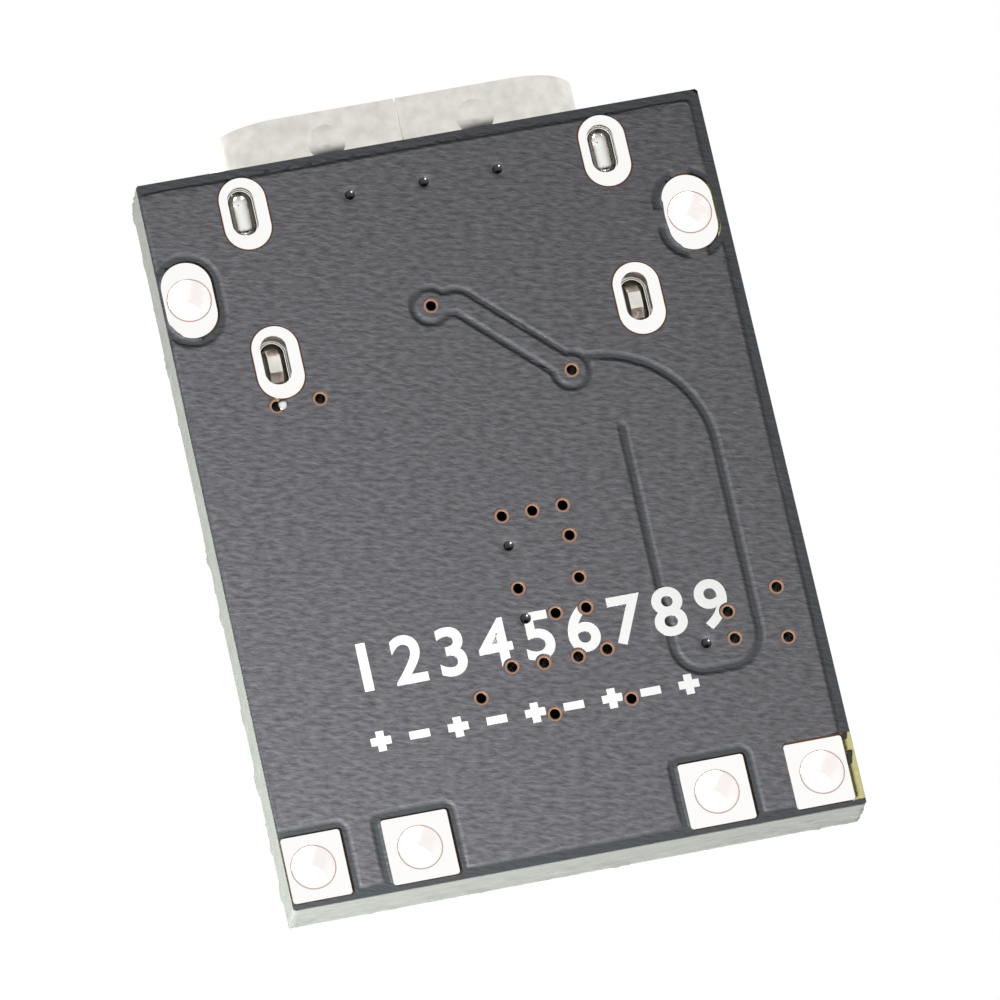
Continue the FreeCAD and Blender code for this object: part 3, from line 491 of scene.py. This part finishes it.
def ring_of(shape, middle, profile):
    """Turns a profile of radii and heights once round an upright axis."""
    points = [shape.verts.new((middle.x + away, middle.y, height)) for away, height in profile]
    edges = [shape.edges.new(pair) for pair in zip(points, points[1:])]
    bmesh.ops.spin(
        shape,
        geom=points + edges,
        cent=(middle.x, middle.y, 0),
        axis=(0, 0, 1),
        angle=2 * math.pi,
        steps=ROUND_SIDES,
        use_merge=True,
    )


def pooled_mask():
    """Solder mask that pooled in a via: thick, glossy and almost black."""
    return grained_solid(
        "pooled_solder_mask", "#232327", roughness=0.22, spacing=0.1 * MM, depth=0.001 * MM
    )


def via_bottoms(covered, board):
    """A bowl of pooled mask in each covered via."""
    shape = bmesh.new()
    for middle, radius in covered:
        ring_of(shape, middle, [(away * radius, board.crater_depth + rise * radius) for away, rise in BOWL])
    bmesh.ops.recalc_face_normals(shape, faces=shape.faces)
    for face in shape.faces:
        face.smooth = True
        if face.normal.z > 0:
            face.normal_flip()
    return shape


def soften_mask(shape, board):
    """Rounds the mask's steps, lets it dip round the covered vias and notes how far each point has sunk."""
    looks_down = [f.calc_center_median().z for f in shape.faces if f.normal.z < DOWN]
    floor_level = min(z for z in looks_down if z > NEAR)
    inset_shares = (0.4, 0.6)
    highest_rise = 1.05  # a little over 1, for the points on a via's own rim
    steepest_smooth = 0.6
    flattest_smooth = math.cos(math.radians(1))
    steps = step_walls(shape, floor_level)
    covered = round_windows(shape, board.covered_via_limit)
    cut_long_edges(shape, (0, floor_level), board.longest_edge)
    for level in (floor_level, 0):
        region = on_level(shape, level)
        flat = set(region)
        rims = [
            e
            for e in shape.edges
            if flat.intersection(e.link_faces)
            and not flat.issuperset(e.link_faces)
            and not any(is_step(f, floor_level) for f in e.link_faces)
        ]
        bmesh.ops.split_edges(shape, edges=rims)
        for share in inset_shares:
            bmesh.ops.inset_region(
                shape, faces=region, thickness=share * board.step_half_width, use_even_offset=False
            )
    bmesh.ops.remove_doubles(shape, verts=shape.verts, dist=2 * MERGED)
    craters = [(middle, radius + board.crater_width) for middle, radius in covered]
    cut_long_edges(shape, (), board.crater_edge, craters)
    sunk = shape.verts.layers.float.new("sunk")
    for vertex in shape.verts:
        on_floor = abs(vertex.co.z - floor_level) < NEAR
        if not on_floor and vertex.co.z > NEAR:
            continue
        distance = steps.find_nearest(Vector((vertex.co.x, vertex.co.y, floor_level / 2)))[3]
        across = min(distance / board.step_half_width, 1) * (1 if on_floor else -1)
        vertex[sunk] = 0.5 + 0.5 * math.sin(across * math.pi / 2)
        vertex.co.z = floor_level * vertex[sunk]
        for middle, radius in covered:
            rise = 1 - ((vertex.co - middle).xy.length - radius) / board.crater_width
            if 0 < rise <= highest_rise:
                vertex.co.z += board.crater_depth * rise**2
    shape.normal_update()
    for face in shape.faces:
        dips = any((face.calc_center_median() - middle).xy.length < reach for middle, reach in craters)
        face.smooth = -face.normal.z > steepest_smooth and (dips or -face.normal.z < flattest_smooth)


class CHARGER_OT_back_mask(bpy.types.Operator):
    """The back's solder mask, with soft slopes where it sinks between the copper."""

    bl_idname = "charger.back_mask"
    bl_label = "Back mask"

    def execute(self, context):
        board = settings()[0]
        shape = merged_copy("solder_mask_back")
        bottoms = via_bottoms(round_windows(shape, board.covered_via_limit), board)
        piece_from(bottoms, "via_bottoms_back", pooled_mask())
        soften_mask(shape, board)
        piece = piece_from(shape, "mask_relief_back", satin_solder_mask())
        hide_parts("solder_mask_back")
        return {"FINISHED"}


def outline_points(low, high, spacing):
    """Points round a board's outline, evenly spaced on each side, with the way out of the board at each."""
    ends = ((low[0], low[1]), (high[0], low[1]), (high[0], high[1]), (low[0], high[1]))
    corners = [Vector(end) for end in ends]
    points = []
    for start, end in zip(corners, corners[1:] + corners[:1]):
        run = end - start
        steps = int(run.length / spacing)
        out = Vector((run.y, -run.x)).normalized()
        points += [(start + run * ((step + 0.5) / steps), out) for step in range(steps)]
    return points


class CHARGER_OT_edge(bpy.types.Operator):
    """The torn fibres that the router left round the board's edge."""

    bl_idname = "charger.edge"
    bl_label = "Routed edge"

    def execute(self, context):
        board = settings()[0]
        low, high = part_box("glass_fibre_core")
        columns = outline_points(low, high, board.fray_spacing)
        shape = bmesh.new()
        grid = []
        for place, out in columns:
            grid.append([])
            for row in range(board.fray_rows):
                share = row / (board.fray_rows - 1)
                spot = Vector((place.x, place.y, low[2] + share * (high[2] - low[2])))
                tears = (spot.x / board.tear_length, spot.y / board.tear_length, spot.z / board.tear_height)
                tear = noise.fractal(Vector(tears), *TEAR_NOISE)
                reach = board.fray_base
                if 0 < share < 1:
                    reach += board.fray_reach * share * max(tear, 0)
                grid[-1].append(shape.verts.new(spot + Vector((out.x, out.y, 0)) * reach))
        for column, following in zip(grid, grid[1:] + grid[:1]):
            for row in range(board.fray_rows - 1):
                face = shape.faces.new((column[row], following[row], following[row + 1], column[row + 1]))
                face.smooth = True
        piece_from(shape, "routed_edge_fibres", routed_laminate())
        return {"FINISHED"}


class CHARGER_OT_board(bpy.types.Operator):
    """The laminate, the copper, the tinned pads and the front's mask."""

    bl_idname = "charger.board"
    bl_label = "Board"

    def execute(self, context):
        paint(["glass_fibre_core"], glass_fibre_laminate())
        paint(["solder_mask_front"], bpy.data.materials["satin_black_solder_mask"])
        # copper: the near-black walls are painted shade in the via barrels and at the copper's edges; the
        # brown faces are tarnish
        copper = metal_with_wall_shade("tarnished_copper_with_wall_shade", wall_shade_hex="#1d1410", face_hex="#6a4c3a", roughness=0.5)
        paint(["etched_copper", "component_lands"], copper)
        # tin: the slightly darker, pinker walls of the pads' holes are painted shade
        tin = metal_with_wall_shade(
            "hot_air_levelled_tin", wall_shade_hex="#f9f1ee", face_hex="#fffefc", roughness=0.22, sharpness=2.0
        )
        paint([n for n in NODES if n.startswith(("edge_pad", "end_pad", "peg_ring"))], tin)
        # solder: the dark olive walls are painted shade at the ends of the joints' hollows; the pale faces
        # are its own colour
        solder = metal_with_wall_shade(
            "reflowed_solder", wall_shade_hex="#3d3b2c", face_hex="#f2f2ee", roughness=0.2, sharpness=3.0
        )
        paint(["solder_joints"], solder)
        return {"FINISHED"}


class CHARGER_OT_via_rings(bpy.types.Operator):
    """The bright copper rings of the open vias on the back."""

    bl_idname = "charger.via_rings"
    bl_label = "Via rings"

    def execute(self, context):
        board = settings()[0]
        covered = windows_of("solder_mask_back", board.covered_via_limit)
        holes = windows_of("etched_copper", board.via_hole_limit, board.copper_level)
        outer, level = board.via_ring_radius, board.copper_level
        shape = bmesh.new()
        for middle, hole in holes:
            if any((middle - other).xy.length < hole for other, _ in covered):
                continue
            lip = (outer - hole) / 4
            crest = level - lip / 2
            ring_of(shape, middle, [(hole, level), (hole + lip, crest), (outer - lip, crest), (outer, level)])
        bmesh.ops.recalc_face_normals(shape, faces=shape.faces)
        for face in shape.faces:
            face.smooth = True
        bright = grained_metal(
            "bright_copper", "#b9957f", roughness=0.4, spacing=0.05 * MM, depth=0.002 * MM, dip=0.8
        )
        piece_from(shape, "via_rings_back", bright)
        return {"FINISHED"}


class CHARGER_OT_hole_rims(bpy.types.Operator):
    """Thin pinkish rims round the wire holes: painted shade that stands for the holes' walls."""

    bl_idname = "charger.hole_rims"
    bl_label = "Hole rims"

    def execute(self, context):
        board = settings()[0]
        shape = bmesh.new()
        for name in NODES:
            if name.startswith(("edge_pad", "end_pad")):
                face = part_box(name)[0][2]
                for middle, hole in windows_of(name, board.wire_hole_limit, face):
                    level = face - board.rim_lift
                    ring_of(shape, middle, [(hole, face), (hole, level), (hole + board.rim_width, level)])
        bmesh.ops.recalc_face_normals(shape, faces=shape.faces)
        # painted shade: the rims' pink tone stands for the holes' walls in shade
        shaded = grained_metal("pink_hole_wall_shade", "#cdb0a6", roughness=0.4, spacing=0.1 * MM, depth=0.001 * MM)
        piece_from(shape, "wire_hole_rims_back", shaded)
        return {"FINISHED"}


class CHARGER_OT_leftovers(bpy.types.Operator):
    """What the maker left behind: a splash of solder at a via and two scraps of mask on bare laminate."""

    bl_idname = "charger.leftovers"
    bl_label = "Leftovers"

    def execute(self, context):
        board = settings()[0]
        splash = bmesh.new()
        long_and_low = Matrix.Diagonal((1, 1.3, 0.5, 1))
        place = Matrix.Translation((board.splash_x, board.splash_y, board.copper_level / 2))
        bmesh.ops.create_uvsphere(
            splash, u_segments=24, v_segments=16, radius=board.splash_radius, matrix=place @ long_and_low
        )
        for face in splash.faces:
            face.smooth = True
        piece_from(splash, "solder_splash", bpy.data.materials["reflowed_solder"])
        scraps = bmesh.new()
        edge_x, _, laminate_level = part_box("glass_fibre_core")[0]
        middle_x = (edge_x + board.open_laminate_x) / 2
        turn = Matrix.Rotation(math.radians(board.scrap_turn), 4, "Z")
        for y, length in (
            (board.first_scrap_y, board.first_scrap_length),
            (board.second_scrap_y, board.second_scrap_length),
        ):
            size = Matrix.Diagonal((board.scrap_width, length, board.copper_level, 1))
            place = Matrix.Translation((middle_x, y, laminate_level - board.copper_level / 2))
            bmesh.ops.create_cube(scraps, size=1, matrix=place @ turn @ size)
        bmesh.ops.bevel(
            scraps,
            geom=scraps.edges[:],
            offset=board.scrap_rounding,
            offset_type="OFFSET",
            segments=2,
            profile=0.5,
            affect="EDGES",
            material=-1,
        )
        piece_from(scraps, "mask_scraps", pooled_mask())
        return {"FINISHED"}


def white_ink():
    """White epoxy legend ink, matt and a little uneven."""
    return grained_solid(
        "white_legend_ink", "#f6f6f4", roughness=0.6, spacing=0.08 * MM, depth=0.002 * MM, dip=0.97
    )


def number_mesh(text, marks):
    """A plain number as a mesh about its own middle, made to be read from below."""
    curve = bpy.data.curves.new("number", "FONT")
    curve.body = text
    curve.align_x = "CENTER"
    curve.align_y = "CENTER"
    curve.size = marks.numbers_height / DIGIT_SHARE
    curve.offset = marks.heavier
    curve.extrude = marks.ink_thickness / 2
    lettering = bpy.data.objects.new("number", curve)
    bpy.context.scene.collection.objects.link(lettering)
    mesh = bpy.data.meshes.new_from_object(lettering)
    bpy.data.objects.remove(lettering)
    mesh.transform(Matrix.Rotation(math.pi, 4, "Y"))
    return mesh


def sign_mesh(plus, marks):
    """A plus or a minus as a mesh about its own middle."""
    far, close = marks.sign_size / 2, marks.stroke / 2
    if plus:
        corner = [(far, close), (close, close), (close, far)]
        turns = [Matrix.Rotation(quarter * math.pi / 2, 2) for quarter in range(4)]
        outline = [turn @ Vector(c) for turn in turns for c in corner]
    else:
        outline = [Vector(c) for c in ((far, -close), (far, close), (-far, close), (-far, -close))]
    shape = bmesh.new()
    face = shape.faces.new([shape.verts.new((p.x, p.y, -marks.ink_thickness / 2)) for p in outline])
    grown = bmesh.ops.extrude_face_region(shape, geom=[face])["geom"]
    bmesh.ops.translate(
        shape, vec=(0, 0, marks.ink_thickness), verts=[v for v in grown if isinstance(v, bmesh.types.BMVert)]
    )
    bmesh.ops.recalc_face_normals(shape, faces=shape.faces)
    mesh = bpy.data.meshes.new("sign")
    shape.to_mesh(mesh)
    shape.free()
    return mesh


def cut_at(mesh, cutter):
    """A copy of a mesh without what lies inside a cutter."""
    whole = bpy.data.objects.new("whole", mesh)
    bpy.context.scene.collection.objects.link(whole)
    cut = whole.modifiers.new("cut", "BOOLEAN")
    cut.operation = "DIFFERENCE"
    cut.solver = "EXACT"
    cut.object = cutter
    bpy.context.view_layer.update()
    left = bpy.data.meshes.new_from_object(whole.evaluated_get(bpy.context.evaluated_depsgraph_get()))
    bpy.data.objects.remove(whole)
    return left


class CHARGER_OT_marks(bpy.types.Operator):
    """Plain numbers and signs in white ink, of the size of a board's legend and open over the vias."""

    bl_idname = "charger.marks"
    bl_label = "Marks"

    def execute(self, context):
        board, marks, _ = settings()
        ink = white_ink()
        well_through = 20 * marks.ink_thickness
        posts = bmesh.new()
        for middle, radius in windows_of("solder_mask_back", board.open_via_limit):
            post = radius + marks.clearance
            bmesh.ops.create_cone(
                posts,
                cap_ends=True,
                segments=ROUND_SIDES,
                radius1=post,
                radius2=post,
                depth=well_through,
                matrix=Matrix.Translation(middle),
            )
        cutter_mesh = bpy.data.meshes.new("posts")
        posts.to_mesh(cutter_mesh)
        posts.free()
        cutter = bpy.data.objects.new("posts", cutter_mesh)
        context.scene.collection.objects.link(cutter)
        for step in range(marks.count):
            numbers_x = -(marks.row_start + step * marks.numbers_pitch)
            number = number_mesh(str(step + 1), marks)
            number.transform(Matrix.Translation((numbers_x, marks.numbers_y, 0)))
            piece_of(cut_at(number, cutter), f"ink_number_{step + 1}", ink)
            signs_x = -(marks.row_start + step * marks.signs_pitch)
            sign = sign_mesh(step % 2 == 0, marks)
            sign.transform(Matrix.Translation((signs_x, marks.signs_y, 0)))
            piece_of(cut_at(sign, cutter), f"ink_sign_{step + 1}", ink)
        bpy.data.objects.remove(cutter)
        return {"FINISHED"}


class CHARGER_OT_socket(bpy.types.Operator):
    """The finish of the Type-C socket."""

    bl_idname = "charger.socket"
    bl_label = "Socket"

    def execute(self, context):
        nickel = grained_metal(
            "nickel_plated_steel", "#f0ede5", roughness=0.3, spacing=0.4 * MM, depth=0.004 * MM, dip=0.8
        )
        paint(["socket_shell"], nickel)
        steel = grained_metal("stamped_steel", "#b9b9ba", roughness=0.35, spacing=0.1 * MM, depth=0.002 * MM)
        paint(["socket_latch_plate"], steel)
        nylon = grained_solid(
            "glass_filled_nylon", "#232326", roughness=0.5, spacing=0.08 * MM, depth=0.004 * MM
        )
        paint(["socket_insulator"], nylon)
        gold = grained_metal(
            "gold_flashed_bronze", "#e3bf6c", roughness=0.25, spacing=0.1 * MM, depth=0.001 * MM
        )
        paint([n for n in NODES if n.startswith("contact_")], gold)
        return {"FINISHED"}


class CHARGER_OT_parts(bpy.types.Operator):
    """The finish of the chips, resistors, capacitors and lamps."""

    bl_idname = "charger.parts"
    bl_label = "Parts"

    def execute(self, context):
        epoxy = grained_solid("moulded_epoxy", "#2a2a2c", roughness=0.55, spacing=0.05 * MM, depth=0.004 * MM)
        paint(["charger_body", "transistor_body", "protector_body"], epoxy)
        tin = grained_metal("matt_tin_plating", "#d4d4d5", roughness=0.32, spacing=0.1 * MM, depth=0.003 * MM)
        paint([n for n in NODES if n.endswith(("_leads", "_ends"))], tin)
        glaze = grained_solid("glazed_alumina", "#2b2b2e", roughness=0.3, spacing=0.1 * MM, depth=0.002 * MM)
        paint([n for n in NODES if n.endswith("resistor_body")], glaze)
        ceramic = grained_solid(
            "fired_barium_titanate", "#a98a63", roughness=0.45, spacing=0.06 * MM, depth=0.003 * MM
        )
        paint([n for n in NODES if n.endswith("capacitor_body")], ceramic)
        white = grained_solid(
            "white_lamp_laminate", "#e9e7de", roughness=0.5, spacing=0.1 * MM, depth=0.002 * MM
        )
        paint([n for n in NODES if n.endswith("lamp_base")], white)
        paint([n for n in NODES if n.endswith("lamp_cap")], clear_epoxy())
        return {"FINISHED"}


def area_lamp(name, *, place, size, power):
    """A soft square lamp that shines from its place to the middle of the board."""
    light = bpy.data.lights.new(name, "AREA")
    light.size = size
    light.energy = power
    lamp = bpy.data.objects.new(name, light)
    bpy.context.scene.collection.objects.link(lamp)
    lamp.location = place
    middle = Vector((0, 0, 1 * MM))
    lamp.rotation_euler = (middle - Vector(place)).to_track_quat("-Z", "Y").to_euler()
    return lamp


def studio_world(fill_strength):
    """White where it is seen, white with a dark far end where it is mirrored, and even where it lights."""
    world = bpy.data.worlds.new("white_studio")
    bpy.context.scene.world = world
    world.use_nodes = True
    tree = world.node_tree
    tree.nodes.clear()
    path = add_node(tree, "ShaderNodeLightPath").outputs
    looked_along = add_node(tree, "ShaderNodeTexCoord").outputs["Generated"]
    way = add_node(tree, "ShaderNodeSeparateXYZ", {}, {0: looked_along}).outputs
    end_range = {"From Min": 0.42, "From Max": 0.72}
    far_end = add_node(tree, "ShaderNodeMapRange", end_range, {"Value": way["Y"]}).outputs[0]
    under_range = {"From Min": 0.0, "From Max": -0.15}
    below = add_node(tree, "ShaderNodeMapRange", under_range, {"Value": way["Z"]}).outputs[0]
    dark = add_node(tree, "ShaderNodeMath", {"operation": "MULTIPLY"}, {0: far_end, 1: below}).outputs[0]
    room = add_node(tree, "ShaderNodeMath", {"operation": "SUBTRACT", 0: 1.0}, {1: dark}).outputs[0]
    bounces = {0: path["Is Glossy Ray"], 1: path["Is Transmission Ray"]}
    mirrored = add_node(tree, "ShaderNodeMath", {"operation": "MAXIMUM"}, bounces).outputs[0]
    room = add_node(tree, "ShaderNodeMath", {"operation": "MULTIPLY"}, {0: room, 1: mirrored}).outputs[0]
    looks = {0: room, 1: path["Is Camera Ray"]}
    shown = add_node(tree, "ShaderNodeMath", {"operation": "MAXIMUM"}, looks).outputs[0]
    lit = add_node(tree, "ShaderNodeMath", {"operation": "SUBTRACT", 0: 1.0}, {1: mirrored}).outputs[0]
    fill = add_node(tree, "ShaderNodeMath", {"operation": "MULTIPLY", 1: fill_strength}, {0: lit}).outputs[0]
    strength = add_node(tree, "ShaderNodeMath", {"operation": "MAXIMUM"}, {0: shown, 1: fill})
    background = add_node(
        tree, "ShaderNodeBackground", {"Color": (1, 1, 1, 1)}, {"Strength": strength.outputs[0]}
    )
    add_node(tree, "ShaderNodeOutputWorld", {}, {"Surface": background.outputs[0]})


def one_way_floor(size, drop, colour):
    """A pale floor that the camera sees from above and looks through from below."""
    material = bpy.data.materials.new("pale_paper_floor")
    material.use_nodes = True
    tree = material.node_tree
    tree.nodes.clear()
    path = add_node(tree, "ShaderNodeLightPath").outputs["Is Camera Ray"]
    back = add_node(tree, "ShaderNodeNewGeometry").outputs["Backfacing"]
    shown = add_node(tree, "ShaderNodeMath", {"operation": "SUBTRACT", "use_clamp": True}, {0: path, 1: back})
    paper = add_node(tree, "ShaderNodeBsdfDiffuse", {"Color": tuple(colour)})
    clear = add_node(tree, "ShaderNodeBsdfTransparent")
    mix = add_node(
        tree, "ShaderNodeMixShader", {}, {0: shown.outputs[0], 1: clear.outputs[0], 2: paper.outputs[0]}
    )
    add_node(tree, "ShaderNodeOutputMaterial", {}, {"Surface": mix.outputs[0]})
    shape = bmesh.new()
    bmesh.ops.create_grid(shape, x_segments=1, y_segments=1, size=size / 2)
    mesh = bpy.data.meshes.new("floor")
    shape.to_mesh(mesh)
    shape.free()
    mesh.materials.append(material)
    floor = bpy.data.objects.new("floor", mesh)
    floor.location.z = -drop
    bpy.context.scene.collection.objects.link(floor)


class CHARGER_OT_stage(bpy.types.Operator):
    """A white studio with soft lamps above and below, and the camera under the board's back."""

    bl_idname = "charger.stage"
    bl_label = "Stage"

    def execute(self, context):
        stage = settings()[2]
        studio_world(stage.fill_strength)
        one_way_floor(stage.floor_size, stage.floor_drop, stage.floor_colour)
        area_lamp("lamp_above", place=(-0.15, -0.15, 0.4), size=0.25, power=2.0)
        area_lamp("lamp_above_fill", place=(0.3, 0.1, 0.25), size=0.3, power=0.85)
        beyond = area_lamp("lamp_beyond", place=(-0.25, 0.3, 0.2), size=0.3, power=1.6)
        beyond.visible_glossy = False  # else its mirrored square turns the socket's top plain white
        area_lamp("lamp_below", place=stage.key_place, size=stage.key_size, power=stage.key_power)
        camera_data = bpy.data.cameras.new("camera")
        camera_data.lens = stage.lens
        camera_data.sensor_width = 36
        camera_data.clip_start = 0.01
        camera_data.clip_end = 10
        camera = bpy.data.objects.new("camera", camera_data)
        bpy.context.scene.collection.objects.link(camera)
        place = Vector(stage.camera_place)
        ahead = (Vector(stage.camera_aim) - place).normalized()
        right = ahead.cross(Vector(stage.camera_up)).normalized()
        up = right.cross(ahead)
        turn = Matrix((right, up, -ahead)).transposed()
        camera.matrix_world = Matrix.Translation(place) @ turn.to_4x4()
        context.scene.camera = camera
        context.scene.view_settings.view_transform = "Standard"
        return {"FINISHED"}


class CHARGER_PT_panel(bpy.types.Panel):
    """Lists the module's pieces in the sidebar."""

    bl_idname = "CHARGER_PT_panel"
    bl_label = "Charger module"
    bl_space_type = "VIEW_3D"
    bl_region_type = "UI"
    bl_category = "Charger module"

    def draw(self, context):
        for operator in OPERATORS:
            self.layout.operator(operator.bl_idname)
        for group in settings():
            box = self.layout.box()
            for name in group.__annotations__:
                box.prop(group, name)


OPERATORS = (
    CHARGER_OT_back_mask,
    CHARGER_OT_edge,
    CHARGER_OT_board,
    CHARGER_OT_via_rings,
    CHARGER_OT_hole_rims,
    CHARGER_OT_leftovers,
    CHARGER_OT_marks,
    CHARGER_OT_socket,
    CHARGER_OT_parts,
    CHARGER_OT_stage,
)
CLASSES = (BoardSettings, MarkSettings, StageSettings, *OPERATORS, CHARGER_PT_panel)


def register():
    for made in CLASSES:
        bpy.utils.register_class(made)
    bpy.types.Scene.charger_board = PointerProperty(type=BoardSettings)
    bpy.types.Scene.charger_marks = PointerProperty(type=MarkSettings)
    bpy.types.Scene.charger_stage = PointerProperty(type=StageSettings)


def unregister():
    del bpy.types.Scene.charger_stage
    del bpy.types.Scene.charger_marks
    del bpy.types.Scene.charger_board
    for made in reversed(CLASSES):
        bpy.utils.unregister_class(made)


def main():
    """Builds everything in order."""
    register()
    bpy.ops.charger.back_mask()
    bpy.ops.charger.edge()
    bpy.ops.charger.board()
    bpy.ops.charger.via_rings()
    bpy.ops.charger.hole_rims()
    bpy.ops.charger.leftovers()
    bpy.ops.charger.marks()
    bpy.ops.charger.socket()
    bpy.ops.charger.parts()
    bpy.ops.charger.stage()


if __name__ == "__main__":
    main()
